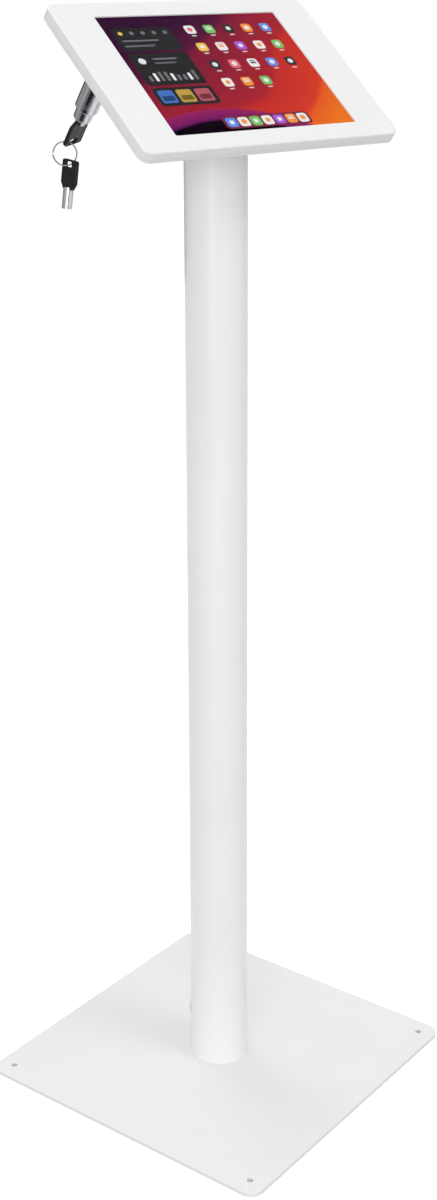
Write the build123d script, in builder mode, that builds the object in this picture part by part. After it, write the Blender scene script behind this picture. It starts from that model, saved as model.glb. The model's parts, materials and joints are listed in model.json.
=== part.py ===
from build123d import *
import os
from math import asin, cos, degrees, radians, sin, sqrt

os.makedirs("parts", exist_ok=True)

# Adjustable tablet floor stand. Millimetres. The origin is the middle of the base plate's
# underside, +Z is up, and the front of the base faces -Y. The head is drawn turned and tilted.

# General clearances
slide_gap = 0.05        # radial running gap of a shaft or key in its bore
face_gap = 0.05         # axial gap between faces that turn on each other
hole_gap = 0.1          # radial gap of a screw, pin or plug in its hole
seat_gap = 0.3          # gap between a soft or loose piece and what it touches
cut_over = 1.0          # how far a cutting solid runs past the face it cuts

# Base plate
base_side = 350
base_thickness = 4
base_corner_radius = 14
base_edge_round = 0.5
floor_hole_diameter = 6.5
floor_hole_inset = 18

# Column and its foot
column_diameter = 60.3
column_wall = 2
column_length = 975
foot_plug_thickness = 12
foot_screw_circle = 38
foot_screw_count = 4
foot_screw_diameter = 6
foot_screw_head_diameter = 11
foot_screw_length = 14
foot_screw_recess = 0.2
outlet_height = 45      # middle of the cable outlet above the base plate
outlet_diameter = 20
grommet_bore = 12
grommet_lip = 2
grommet_lip_thickness = 1.6

# Swivel at the column's top
cap_flange = 6
cap_edge_round = 1.5
cap_spigot = 22
cap_screw_count = 3
cap_screw_start = 30    # degrees from +X to the first screw
cap_screw_diameter = 5
cap_screw_grip = 7
cap_screw_head_diameter = 9.5
cap_screw_head_height = 2.6
cap_screw_socket = 3
spindle_diameter = 20
spindle_thread_diameter = 16
spindle_thread_length = 15
spindle_bore = 9
swivel_washer_thickness = 1
swivel_nut_across = 24
swivel_nut_height = 8
thrust_washer_thickness = 2
thrust_washer_room = 4.15   # between the washer's edge and the tube's bore
disc_spring_thickness = 1.2
disc_spring_rise = 0.8
stop_pin_diameter = 5
stop_groove_depth = 1.8
stop_pin_bearing = 90     # degrees from +X, the column's back
swivel_each_way = 90    # degrees either side of straight ahead

# Tilt yoke and its bolt
yoke_disc_diameter = 50
yoke_disc_thickness = 6
pivot_rise = 35.7       # tilt axis above the column cap's top face
ear_thickness = 8
ear_width = 24
knuckle_width = 24
knuckle_height = 22
tilt_bolt_diameter = 10
tilt_hex_across = 16
tilt_head_height = 6
tilt_nut_height = 8
tilt_bolt_end = 2
tilt_washer_diameter = 22
tilt_washer_thickness = 1

# How the head stands at rest
head_turn = 15          # degrees towards -X from straight ahead
head_tilt = 38          # degrees of the screen from level
back_height = 16.1      # casing's back above the tilt axis, square to the screen

# Head bracket, on the common 75 mm square screw pattern
bracket_side = 90
bracket_thickness = 3
bracket_corner_radius = 6
mount_pitch = 75
mount_screw_diameter = 4
mount_screw_head_diameter = 8
mount_screw_head_height = 2.4
mount_screw_socket = 2.5
press_nut_diameter = 8
press_nut_thickness = 1.4

# Tablet of the 10.2 inch class, sized from its lit area and its layers
screen_width = 207.3
screen_height = 155.5
tablet_end_border = 21.65   # from the lit area to the tablet's end
tablet_side_border = 9.3
tablet_width = screen_width + 2 * tablet_end_border
tablet_height = screen_height + 2 * tablet_side_border
tablet_corner_radius = 12
tablet_back_round = 2.4
tablet_wall = 1.2
glass_thickness = 0.7
glass_proud = 0.3
laminate_gap = 0.4
display_thickness = 0.9
display_margin = 1.0
cell_room = 0.7             # between the display's back and the battery
cell_thickness = 3.6
tablet_thickness = (
    glass_thickness + laminate_gap + display_thickness + cell_room + cell_thickness + tablet_wall
)
battery_width = 150
battery_height = 104
board_width = 28
board_margin = 8
board_thickness = 1.6
button_length = 11
button_width = 2.4
button_proud = 0.8
button_root = 1.4
power_button_inset = 29.05  # from the tablet's top corner, down the left end
power_button_place = tablet_height / 2 - power_button_inset
volume_button_inset = 33.3  # from the same corner, along the top
volume_button_place = volume_button_inset - tablet_width / 2
volume_button_pitch = 15

# Soft packing between tray and tablet
back_pad_thickness = 1.9
back_pad_width = 14
back_pad_length = 120
back_pad_pitch = 110
corner_foam_reach = 16      # how far a corner block runs along the tablet's edge
corner_foam_cover = 7.6

# Casing: back tray and front cover, with the lock and its catch beside the tablet's left end
sheet = 1.5
seam = 0.2
lip_thickness = 1.2
lip_gap = 0.4
lip_rise = 4.2
catch_foot = 2.1
catch_room = 0.35           # between the catch's foot and the lock nut
lock_nut_diameter = 13
lock_room = 2.2             # between the lock nut and the tablet's end
casing_end_room = 2 * sheet + lip_gap + catch_foot + catch_room + lock_nut_diameter + lock_room
casing_side_room = 9.85
casing_width = tablet_width + 2 * casing_end_room
casing_height = tablet_height + 2 * casing_side_room
casing_depth = 2 * sheet + seam + tablet_thickness + back_pad_thickness
casing_corner_radius = 10
casing_edge_round = 1.5
cover_depth = 8.4
window_corner_radius = 1.5
window_chamfer = 0.4

# Cover hinge
hinge_pin_diameter = 2
hinge_knuckle_radius = 2.5
hinge_leaf = 1.0
hinge_length = 30
hinge_pitch = 120
hinge_play = 0.2
hinge_leaf_start = 2.2      # depth behind the face where the cover's leaf begins
hinge_leaf_end = 0.3        # how far the tray's leaf stops short of the casing's back
hinge_pin_head = 0.8

# Lock on the casing's back
lock_across = -tablet_width / 2 - lock_room - lock_nut_diameter / 2
lock_up = 7
lock_barrel_diameter = 21.4
lock_barrel_length = 29.4
lock_nose_diameter = 16.6
lock_nose_length = 12
lock_edge_round = 0.8
lock_spigot_diameter = 9
lock_nut_thickness = 2
lock_nut_slot = 2
plug_length = 34
plug_tail_diameter = 5.8
plug_square = 4
pin_count = 7
pin_diameter = 0.7
pin_length = 5
cam_thickness = 1.5
cam_hub_radius = 4.5
cam_reach = 8.6
cam_gap = 0.4
cam_screw_head_diameter = 5
cam_screw_head_height = 1.4
cam_screw_diameter = 2
cam_screw_length = 6
catch_width = 10
catch_flange = 8
catch_pocket_side = 3.4

# Tubular keys, their ring and how they hang
key_barrel_diameter = 9.5
key_barrel_wall = 1.1
key_barrel_bore = key_barrel_diameter - 2 * key_barrel_wall
key_inserted = 14
key_shown = 3               # barrel between the lock's face and the bow
key_barrel_length = key_inserted + key_shown
key_rooted = 2.5            # how much of the barrel is moulded into the bow
key_rib_height = 0.8
key_rib_width = 1.6
plug_wall = 1.25            # of the lock plug around the key's barrel
plug_diameter = key_barrel_diameter + 2 * plug_wall
pin_circle = key_barrel_diameter - key_barrel_wall
bow_length = 27
bow_width = 21
bow_thickness = 3.8
bow_shoulder = 6            # length of the tapered shoulder beside the barrel
bow_collar = 1.5            # of the bow either side of the barrel
bow_neck_width = key_barrel_diameter + 2 * bow_collar
bow_edge_round = 0.6
bow_corner_radius = 2.2
bow_slot_length = 9.4
bow_slot_height = 5.2
bow_slot_shift = -1.5       # the slot's middle beside the bow's
bow_slot_corner = 1.3
bow_slot_round = 1.0
bow_slot_margin = 1.7       # from the bow's end to the slot
key_turned = 15             # degrees about the lock axis from the casing's width
ring_diameter = 21.5        # to the middle of the wire
ring_wire = 1.3
ring_lap = 7                # degrees that the ring's two wire ends stand apart
ring_facing = 52.665        # degrees that the ring's plane faces, from the front towards -X
ring_offset = 4.2           # ring's middle beside the line through the two keys' slots
wire_across = -4.0          # where the wire lies in the inserted key's slot, from its middle
wire_down = 0.2             # and its distance from the slot's end
spare_wire_down = 2.15      # distance of the wire from the end of the spare key's slot
spare_wire_across = -1.2
spare_turned = 49           # degrees of the spare key's width from the ring's plane
spare_lean = 6.6            # degrees from the plumb line

# Directions and planes of the head
up = Vector(0, 0, 1)
forward = Vector(-sin(radians(head_turn)), -cos(radians(head_turn)), 0)
across = Vector(cos(radians(head_turn)), -sin(radians(head_turn)), 0)
face_normal = forward * sin(radians(head_tilt)) + up * cos(radians(head_tilt))
face_up = up * sin(radians(head_tilt)) - forward * cos(radians(head_tilt))

cap_top = base_thickness + column_length + cap_flange
pivot = Vector(0, 0, cap_top + pivot_rise)
face_height = back_height + casing_depth
face_middle = pivot + face_normal * face_height
face = Plane(origin=face_middle, x_dir=across, z_dir=face_normal)
section = Plane(origin=face_middle, x_dir=across, z_dir=face_up)   # x across, y is depth
tilt_side = Plane(origin=pivot, x_dir=forward, z_dir=across)
head_side = Plane(origin=pivot, x_dir=face_up, z_dir=across)
into_head = Axis(face_middle, face_normal)

finished = []


def at_depth(depth):
    """The plane parallel to the screen, this far behind the casing's face."""
    return face.offset(-depth)


def along_head(place):
    """The depth section moved this far up the face."""
    return section.offset(place)


def finish(piece, name):
    """Label a finished piece and write its file."""
    piece.part.label = name
    export_step(piece.part, "parts/" + name + ".step")
    finished.append(name)


# Base plate: one steel sheet with four floor fixing holes and countersunk screw holes
foot_head_cone = (foot_screw_head_diameter - foot_screw_diameter) / 2
with BuildPart() as base_plate:
    with BuildSketch():
        RectangleRounded(base_side, base_side, base_corner_radius)
    extrude(amount=base_thickness)
    fillet(base_plate.faces().sort_by(Axis.Z)[-1].edges(), radius=base_edge_round)
    floor_pitch = base_side - 2 * floor_hole_inset
    with Locations(base_plate.faces().sort_by(Axis.Z)[-1]):
        with GridLocations(floor_pitch, floor_pitch, 2, 2):
            Hole(floor_hole_diameter / 2)
    with Locations(Plane(origin=(0, 0, 0), z_dir=(0, 0, -1))):
        with PolarLocations(foot_screw_circle / 2, foot_screw_count, start_angle=45):
            CounterSinkHole(
                foot_screw_diameter / 2 + hole_gap,
                foot_screw_head_diameter / 2 + foot_screw_recess + hole_gap,
                counter_sink_angle=90,
            )
finish(base_plate, "base_plate")

# Countersunk screws that pull the column down on the plate, one solid each
with BuildPart() as base_screws:
    with PolarLocations(foot_screw_circle / 2, foot_screw_count, start_angle=45) as places:
        for place in places:
            with BuildSketch(Plane.XY.offset(foot_screw_recess) * place):
                Circle(foot_screw_head_diameter / 2)
            extrude(amount=foot_head_cone, taper=45)
            with BuildSketch(Plane.XY.offset(foot_screw_recess + foot_head_cone) * place):
                Circle(foot_screw_diameter / 2)
            extrude(amount=foot_screw_length - foot_head_cone)
            with BuildSketch(Plane.XY.offset(foot_screw_recess) * place):
                RegularPolygon(foot_screw_diameter / 3, 6)
            extrude(amount=foot_head_cone * 0.8, mode=Mode.SUBTRACT)
finish(base_screws, "base_screws")

# Foot plug welded inside the tube's lower end, with the four screw threads
column_bore = column_diameter - 2 * column_wall
with BuildPart() as foot_plug:
    with BuildSketch(Plane.XY.offset(base_thickness)):
        Circle(column_bore / 2 - hole_gap)
        with PolarLocations(foot_screw_circle / 2, foot_screw_count, start_angle=45):
            Circle(foot_screw_diameter / 2 + slide_gap, mode=Mode.SUBTRACT)
    extrude(amount=foot_plug_thickness)
finish(foot_plug, "foot_plug")

# Column tube, with the cable outlet at the back of its foot and the cap's screw holes
outlet_z = base_thickness + outlet_height
tube_top = base_thickness + column_length
cap_screw_z = tube_top - cap_spigot / 2
cap_screw_turns = [cap_screw_start + 360 / cap_screw_count * count for count in range(cap_screw_count)]
cap_screw_sides = [Vector(cos(radians(turn)), sin(radians(turn)), 0) for turn in cap_screw_turns]
with BuildPart() as column_tube:
    with BuildSketch(Plane.XY.offset(base_thickness)):
        Circle(column_diameter / 2)
        Circle(column_bore / 2, mode=Mode.SUBTRACT)
    extrude(amount=column_length)
    with BuildSketch(Plane(origin=(0, 0, outlet_z), x_dir=(1, 0, 0), z_dir=(0, 1, 0))):
        Circle(outlet_diameter / 2)
    extrude(amount=column_diameter, mode=Mode.SUBTRACT)
    for side in cap_screw_sides:
        with BuildSketch(Plane(origin=(0, 0, cap_screw_z), x_dir=(0, 0, 1), z_dir=side)):
            Circle(cap_screw_diameter / 2 + hole_gap)
        extrude(amount=column_diameter, mode=Mode.SUBTRACT)
finish(column_tube, "column_tube")

# Rubber grommet in the cable outlet, a turned ring that grips the tube wall
grommet_inside = sqrt((column_bore / 2) ** 2 - (outlet_diameter / 2) ** 2) - hole_gap
grommet_outside = column_diameter / 2 + hole_gap
with BuildPart() as cable_grommet:
    with BuildSketch(Plane(origin=(0, grommet_inside, outlet_z), x_dir=(1, 0, 0), z_dir=(0, 1, 0))):
        Circle(outlet_diameter / 2 - hole_gap)
        Circle(grommet_bore / 2, mode=Mode.SUBTRACT)
    extrude(amount=grommet_outside - grommet_inside)
    with BuildSketch(Plane(origin=(0, grommet_outside, outlet_z), x_dir=(1, 0, 0), z_dir=(0, 1, 0))):
        Circle(outlet_diameter / 2 + grommet_lip)
        Circle(grommet_bore / 2, mode=Mode.SUBTRACT)
    extrude(amount=grommet_lip_thickness)
    outer_face = cable_grommet.faces().sort_by(Axis.Y)[-1]
    fillet(outer_face.outer_wire().edges(), radius=grommet_lip_thickness * 0.45)
finish(cable_grommet, "cable_grommet")

# Column cap: turned plug that closes the tube and carries the swivel spindle
with BuildPart() as column_cap:
    with BuildSketch(Plane.XY.offset(tube_top)):
        Circle(column_diameter / 2)
    extrude(amount=cap_flange)
    fillet(column_cap.faces().sort_by(Axis.Z)[-1].edges(), radius=cap_edge_round)
    with BuildSketch(Plane.XY.offset(tube_top - cap_spigot)):
        Circle(column_bore / 2 - hole_gap)
    extrude(amount=cap_spigot)
    with BuildSketch(Plane.XY.offset(tube_top - cap_spigot)):
        Circle(spindle_diameter / 2 + slide_gap)
    extrude(amount=cap_spigot + cap_flange, mode=Mode.SUBTRACT)
    for side in cap_screw_sides:
        screw_end = column_diameter / 2 - cap_screw_grip - seat_gap
        with BuildSketch(Plane(origin=side * screw_end + up * cap_screw_z, x_dir=(0, 0, 1), z_dir=side)):
            Circle(cap_screw_diameter / 2 + slide_gap)
        extrude(amount=column_diameter, mode=Mode.SUBTRACT)
    with BuildSketch(Plane(origin=(0, 0, cap_screw_z), x_dir=(1, 0, 0), z_dir=(0, 1, 0))):
        Circle(stop_pin_diameter / 2 + slide_gap)
    extrude(amount=column_diameter, mode=Mode.SUBTRACT)
finish(column_cap, "column_cap")

# Button-head screws through the tube wall into the cap
with BuildPart() as cap_screws:
    for side in cap_screw_sides:
        start = side * (column_diameter / 2 - cap_screw_grip) + up * cap_screw_z
        seat = side * (column_diameter / 2) + up * cap_screw_z
        with BuildSketch(Plane(origin=start, x_dir=(0, 0, 1), z_dir=side)):
            Circle(cap_screw_diameter / 2)
        extrude(amount=cap_screw_grip)
        with BuildSketch(Plane(origin=seat, x_dir=(0, 0, 1), z_dir=side)):
            Circle(cap_screw_head_diameter / 2)
        extrude(amount=cap_screw_head_height, taper=25)
        socket = seat + side * (cap_screw_head_height * 0.4)
        with BuildSketch(Plane(origin=socket, x_dir=(0, 0, 1), z_dir=side)):
            RegularPolygon(cap_screw_socket / sqrt(3), 6)
        extrude(amount=cap_screw_head_height, mode=Mode.SUBTRACT)
finish(cap_screws, "cap_screws")

# Stop pin: a dowel in the back of the cap whose tip rides in the spindle's groove
groove_floor = spindle_diameter / 2 - stop_groove_depth
pin_tip = groove_floor + hole_gap
with BuildPart() as stop_pin:
    with BuildSketch(Plane(origin=(0, pin_tip, cap_screw_z), x_dir=(1, 0, 0), z_dir=(0, 1, 0))):
        Circle(stop_pin_diameter / 2)
    extrude(amount=column_bore / 2 - 2 * hole_gap - pin_tip - stop_groove_depth)
finish(stop_pin, "stop_pin")

# Nylon friction washer between the cap and the yoke
with BuildPart() as swivel_washer:
    with BuildSketch(Plane.XY.offset(cap_top + face_gap)):
        Circle(yoke_disc_diameter / 2)
        Circle(spindle_diameter / 2 + hole_gap, mode=Mode.SUBTRACT)
    extrude(amount=swivel_washer_thickness)
finish(swivel_washer, "swivel_washer")

# Tilt yoke: disc, two ears and a hollow spindle with a groove for the stop pin
disc_bottom = cap_top + face_gap + swivel_washer_thickness
disc_top = disc_bottom + yoke_disc_thickness
shoulder_z = tube_top - cap_spigot - face_gap
thread_end = shoulder_z - spindle_thread_length
ear_inner = knuckle_width / 2 + tilt_washer_thickness + 2 * face_gap
groove_side = degrees(asin((stop_pin_diameter / 2 + hole_gap) / pin_tip))
groove_sweep = 2 * (swivel_each_way + groove_side)
groove_start = stop_pin_bearing - head_turn - groove_sweep / 2
groove_dir = Vector(cos(radians(groove_start)), sin(radians(groove_start)), 0)
with BuildPart() as tilt_yoke:
    with BuildSketch(Plane.XY.offset(disc_bottom)):
        Circle(yoke_disc_diameter / 2)
    extrude(amount=yoke_disc_thickness)
    fillet(tilt_yoke.faces().sort_by(Axis.Z)[-1].edges(), radius=cap_edge_round)
    for side in (-1, 1):
        ear_start = ear_inner if side > 0 else -ear_inner - ear_thickness
        ear_plane = tilt_side.offset(ear_start)
        with BuildSketch(ear_plane):
            Circle(ear_width / 2)
            ear_drop = pivot.Z - disc_top + cap_edge_round
            with Locations((0, ear_drop / 2 * (1 if ear_plane.y_dir.Z < 0 else -1))):
                Rectangle(ear_width, ear_drop)
        extrude(amount=ear_thickness)
    with BuildSketch(Plane.XY.offset(shoulder_z)):
        Circle(spindle_diameter / 2)
    extrude(amount=disc_bottom - shoulder_z)
    with BuildSketch(Plane.XY.offset(thread_end)):
        Circle(spindle_thread_diameter / 2)
    extrude(amount=spindle_thread_length)
    with BuildSketch(Plane.XY.offset(thread_end)):
        Circle(spindle_bore / 2)
    extrude(amount=disc_top - thread_end, mode=Mode.SUBTRACT)
    with BuildSketch(tilt_side.offset(-ear_inner - ear_thickness)):
        Circle(tilt_bolt_diameter / 2 + slide_gap)
    extrude(amount=2 * (ear_inner + ear_thickness), mode=Mode.SUBTRACT)
    groove_plane = Plane(origin=up * cap_screw_z, x_dir=groove_dir, z_dir=groove_dir.cross(up))
    with BuildSketch(groove_plane):
        with Locations((groove_floor + stop_groove_depth, 0)):
            Rectangle(2 * stop_groove_depth, stop_pin_diameter + 2 * hole_gap)
    revolve(axis=Axis.Z, revolution_arc=groove_sweep, mode=Mode.SUBTRACT)
finish(tilt_yoke, "tilt_yoke")

# Under the cap: thrust washer, disc spring and nut hold the spindle down
with BuildPart() as thrust_washer:
    with BuildSketch(Plane.XY.offset(shoulder_z - thrust_washer_thickness)):
        Circle(column_bore / 2 - thrust_washer_room)
        Circle(spindle_thread_diameter / 2 + hole_gap, mode=Mode.SUBTRACT)
    extrude(amount=thrust_washer_thickness)
finish(thrust_washer, "thrust_washer")

spring_top = shoulder_z - thrust_washer_thickness
spring_inner = spindle_thread_diameter / 2 + hole_gap
spring_outer = swivel_nut_across * 0.62
with BuildPart() as disc_spring:
    with BuildSketch(Plane.XZ):
        with BuildLine():
            Polyline(
                (spring_outer, spring_top),
                (spring_outer, spring_top - disc_spring_thickness),
                (spring_inner, spring_top - disc_spring_thickness - disc_spring_rise),
                (spring_inner, spring_top - disc_spring_rise),
                close=True,
            )
        make_face()
    revolve(axis=Axis.Z)
finish(disc_spring, "disc_spring")

nut_top = spring_top - disc_spring_thickness - disc_spring_rise
with BuildPart() as swivel_nut:
    with BuildSketch(Plane.XY.offset(nut_top - swivel_nut_height)):
        RegularPolygon(swivel_nut_across / sqrt(3), 6)
        Circle(spindle_thread_diameter / 2 + slide_gap, mode=Mode.SUBTRACT)
    extrude(amount=swivel_nut_height)
finish(swivel_nut, "swivel_nut")

# Head bracket: screw plate with the knuckle that turns between the yoke's ears
with BuildPart() as head_bracket:
    with BuildSketch(at_depth(casing_depth)):
        RectangleRounded(bracket_side, bracket_side, bracket_corner_radius)
        with GridLocations(mount_pitch, mount_pitch, 2, 2):
            Circle(mount_screw_diameter / 2 + hole_gap, mode=Mode.SUBTRACT)
    extrude(amount=-bracket_thickness)
    with BuildSketch(head_side.offset(-knuckle_width / 2)):
        Circle(knuckle_height / 2)
        knuckle_root = back_height - bracket_thickness / 2
        with Locations((0, knuckle_root / 2 * (1 if head_side.y_dir.dot(face_normal) > 0 else -1))):
            Rectangle(knuckle_height, knuckle_root)
    extrude(amount=knuckle_width)
    with BuildSketch(head_side.offset(-knuckle_width / 2)):
        Circle(tilt_bolt_diameter / 2 + slide_gap)
    extrude(amount=knuckle_width, mode=Mode.SUBTRACT)
finish(head_bracket, "head_bracket")

# Nylon washers either side of the knuckle
with BuildPart() as tilt_washers:
    for start in (knuckle_width / 2 + face_gap, -knuckle_width / 2 - face_gap - tilt_washer_thickness):
        with BuildSketch(tilt_side.offset(start)):
            Circle(tilt_washer_diameter / 2)
            Circle(tilt_bolt_diameter / 2 + hole_gap, mode=Mode.SUBTRACT)
        extrude(amount=tilt_washer_thickness)
finish(tilt_washers, "tilt_washers")

# Tilt bolt and its nut, hexagon heads outside the ears
ear_outer = ear_inner + ear_thickness
with BuildPart() as tilt_bolt:
    with BuildSketch(tilt_side.offset(-ear_outer - tilt_head_height)):
        RegularPolygon(tilt_hex_across / sqrt(3), 6)
    extrude(amount=tilt_head_height)
    with BuildSketch(tilt_side.offset(-ear_outer)):
        Circle(tilt_bolt_diameter / 2)
    extrude(amount=2 * ear_outer + tilt_nut_height + tilt_bolt_end)
    chamfer(tilt_bolt.faces().sort_by(Axis(pivot, across))[-1].edges(), length=tilt_bolt_end / 3)
finish(tilt_bolt, "tilt_bolt")

with BuildPart() as tilt_nut:
    with BuildSketch(tilt_side.offset(ear_outer)):
        RegularPolygon(tilt_hex_across / sqrt(3), 6)
        Circle(tilt_bolt_diameter / 2 + slide_gap, mode=Mode.SUBTRACT)
    extrude(amount=tilt_nut_height)
finish(tilt_nut, "tilt_nut")

# Screws from the bracket into the tray, and the press nuts that take them
with BuildPart() as mount_screws:
    with BuildSketch(at_depth(casing_depth + bracket_thickness)):
        with GridLocations(mount_pitch, mount_pitch, 2, 2):
            Circle(mount_screw_head_diameter / 2)
    extrude(amount=-mount_screw_head_height, taper=12)
    with BuildSketch(at_depth(casing_depth - sheet - press_nut_thickness)):
        with GridLocations(mount_pitch, mount_pitch, 2, 2):
            Circle(mount_screw_diameter / 2)
    extrude(amount=-(press_nut_thickness + sheet + bracket_thickness))
    with BuildSketch(at_depth(casing_depth + bracket_thickness + mount_screw_head_height * 0.4)):
        with GridLocations(mount_pitch, mount_pitch, 2, 2):
            RegularPolygon(mount_screw_socket / sqrt(3), 6)
    extrude(amount=-mount_screw_head_height, mode=Mode.SUBTRACT)
finish(mount_screws, "mount_screws")

with BuildPart() as press_nuts:
    with BuildSketch(at_depth(casing_depth - sheet)):
        with GridLocations(mount_pitch, mount_pitch, 2, 2):
            Circle(press_nut_diameter / 2)
            Circle(mount_screw_diameter / 2 + slide_gap, mode=Mode.SUBTRACT)
    extrude(amount=press_nut_thickness)
finish(press_nuts, "press_nuts")

# Back tray: pressed sheet with a low rim and an inner lip that the cover slips over
lip_outset = sheet + lip_gap
lip_inset = lip_outset + lip_thickness
rim_start = cover_depth + seam
pocket_top = casing_depth - sheet
inner_width = casing_width - 2 * lip_inset
inner_height = casing_height - 2 * lip_inset
cable_hole_across = (inner_width + tablet_width) / 4
cable_hole_diameter = outlet_diameter * 0.7
with BuildPart() as back_tray:
    with BuildSketch(at_depth(rim_start)):
        RectangleRounded(casing_width, casing_height, casing_corner_radius)
    extrude(amount=-(casing_depth - rim_start))
    back_edges = back_tray.faces().sort_by(into_head)[0].edges()
    fillet(back_edges, radius=casing_edge_round)
    with BuildSketch(at_depth(rim_start - lip_rise)):
        RectangleRounded(
            casing_width - 2 * lip_outset,
            casing_height - 2 * lip_outset,
            casing_corner_radius - lip_outset,
        )
    extrude(amount=-(lip_rise + sheet))
    with BuildSketch(at_depth(rim_start - lip_rise)):
        RectangleRounded(inner_width, inner_height, casing_corner_radius - lip_inset)
    extrude(amount=-(lip_rise + pocket_top - rim_start), mode=Mode.SUBTRACT)
    with BuildSketch(at_depth(rim_start - lip_rise)):
        with Locations((-casing_width / 2 + lip_inset / 2 + sheet / 2, lock_up)):
            Rectangle(lip_inset - sheet + hole_gap, catch_width + 2 * catch_pocket_side)
    extrude(amount=-(lip_rise + pocket_top - rim_start), mode=Mode.SUBTRACT)
    with BuildSketch(at_depth(pocket_top)):
        with GridLocations(mount_pitch, mount_pitch, 2, 2):
            Circle(mount_screw_diameter / 2 + hole_gap)
        with Locations((lock_across, lock_up)):
            Circle(lock_spigot_diameter / 2 + hole_gap)
        with Locations((cable_hole_across, 0)):
            Circle(cable_hole_diameter / 2)
    extrude(amount=-sheet, mode=Mode.SUBTRACT)
finish(back_tray, "back_tray")

# Rubber grommet in the tray's cable hole, beside the tablet's end
tray_grommet_bore = cable_hole_diameter - 2 * column_wall
with BuildPart() as tray_grommet:
    with BuildSketch(at_depth(pocket_top)):
        with Locations((cable_hole_across, 0)):
            Circle(cable_hole_diameter / 2 - hole_gap)
            Circle(tray_grommet_bore / 2, mode=Mode.SUBTRACT)
    extrude(amount=-sheet)
    with BuildSketch(at_depth(casing_depth)):
        with Locations((cable_hole_across, 0)):
            Circle(cable_hole_diameter / 2 + grommet_lip)
            Circle(tray_grommet_bore / 2, mode=Mode.SUBTRACT)
    extrude(amount=-grommet_lip_thickness)
finish(tray_grommet, "tray_grommet")

# Front cover: bezel plate with the screen window and side walls down to the seam
with BuildPart() as front_cover:
    with BuildSketch(face):
        RectangleRounded(casing_width, casing_height, casing_corner_radius)
    extrude(amount=-cover_depth)
    fillet(front_cover.faces().sort_by(into_head)[-1].edges(), radius=casing_edge_round)
    with BuildSketch(at_depth(sheet)):
        RectangleRounded(
            casing_width - 2 * sheet, casing_height - 2 * sheet, casing_corner_radius - sheet
        )
    extrude(amount=-(cover_depth - sheet), mode=Mode.SUBTRACT)
    with BuildSketch(face):
        RectangleRounded(screen_width, screen_height, window_corner_radius)
    extrude(amount=-sheet, mode=Mode.SUBTRACT)
    window_edges = front_cover.faces().sort_by(into_head)[-1].inner_wires()[0].edges()
    chamfer(window_edges, length=window_chamfer)
finish(front_cover, "front_cover")

# Tablet shell: thin metal tub with button slots in its left and top edges
tablet_front = sheet + seam
tablet_back = tablet_front + tablet_thickness
shell_front = tablet_front + glass_proud
shell_middle = (shell_front + tablet_back) / 2
button_slot = button_length + 2 * hole_gap
button_slot_width = button_width + 2 * hole_gap
button_places = {
    "power_button": ("left", power_button_place),
    "volume_up_button": ("top", volume_button_place),
    "volume_down_button": ("top", volume_button_place + volume_button_pitch),
}


def button_plane(edge, place, outward):
    """A plane square to the tablet's edge at a button, this far out from the edge."""
    if edge == "left":
        side, reach, along = across * -1, tablet_width / 2, face_up
    else:
        side, reach, along = face_up, tablet_height / 2, across
    origin = face_middle - face_normal * shell_middle + along * place
    return Plane(origin=origin + side * (reach + outward), x_dir=along, z_dir=side)


with BuildPart() as tablet_shell:
    with BuildSketch(at_depth(shell_front)):
        RectangleRounded(tablet_width, tablet_height, tablet_corner_radius)
    extrude(amount=-(tablet_back - shell_front))
    fillet(tablet_shell.faces().sort_by(into_head)[0].edges(), radius=tablet_back_round)
    with BuildSketch(at_depth(shell_front)):
        RectangleRounded(
            tablet_width - 2 * tablet_wall,
            tablet_height - 2 * tablet_wall,
            tablet_corner_radius - tablet_wall,
        )
    extrude(amount=-(tablet_back - shell_front - tablet_wall), mode=Mode.SUBTRACT)
    for edge, place in button_places.values():
        with BuildSketch(button_plane(edge, place, -tablet_wall - cut_over)):
            SlotOverall(button_slot, button_slot_width)
        extrude(amount=tablet_wall + 2 * cut_over, mode=Mode.SUBTRACT)
finish(tablet_shell, "tablet_shell")

# Cover glass, laid in the shell's rim
glass_inset = 2 * (tablet_wall + hole_gap)
with BuildPart() as tablet_glass:
    with BuildSketch(at_depth(tablet_front)):
        RectangleRounded(
            tablet_width - glass_inset,
            tablet_height - glass_inset,
            tablet_corner_radius - glass_inset / 2,
        )
    extrude(amount=-glass_thickness)
    chamfer(tablet_glass.faces().sort_by(into_head)[-1].edges(), length=glass_proud / 2)
finish(tablet_glass, "tablet_glass")

# Display module under the glass
display_front = tablet_front + glass_thickness + laminate_gap
with BuildPart() as tablet_display:
    with BuildSketch(at_depth(display_front)):
        RectangleRounded(
            tablet_width - glass_inset - 2 * display_margin,
            tablet_height - glass_inset - 2 * display_margin,
            tablet_corner_radius - glass_inset / 2 - display_margin,
        )
    extrude(amount=-display_thickness)
finish(tablet_display, "tablet_display")

# Battery and main board on the floor of the shell
shell_floor = tablet_back - tablet_wall
battery_across = (tablet_width - battery_width) / 2 - tablet_corner_radius - board_margin
with BuildPart() as tablet_battery:
    with BuildSketch(at_depth(shell_floor)):
        with Locations((-battery_across, 0)):
            RectangleRounded(battery_width, battery_height, tablet_wall)
    extrude(amount=cell_thickness)
finish(tablet_battery, "tablet_battery")

with BuildPart() as tablet_board:
    with BuildSketch(at_depth(shell_floor)):
        with Locations((battery_width / 2 - battery_across + board_margin + board_width / 2, 0)):
            Rectangle(board_width, battery_height)
    extrude(amount=board_thickness)
finish(tablet_board, "tablet_board")

# Power and volume buttons, each with its own small travel
for name, (edge, place) in button_places.items():
    with BuildPart() as button:
        with BuildSketch(button_plane(edge, place, -tablet_wall - button_root)):
            SlotOverall(button_length, button_width)
        extrude(amount=button_root + tablet_wall + button_proud)
        with BuildSketch(button_plane(edge, place, -tablet_wall - button_root)):
            Rectangle(button_length + 2 * button_root, button_width)
        extrude(amount=button_root - button_proud / 2)
    finish(button, name)

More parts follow.
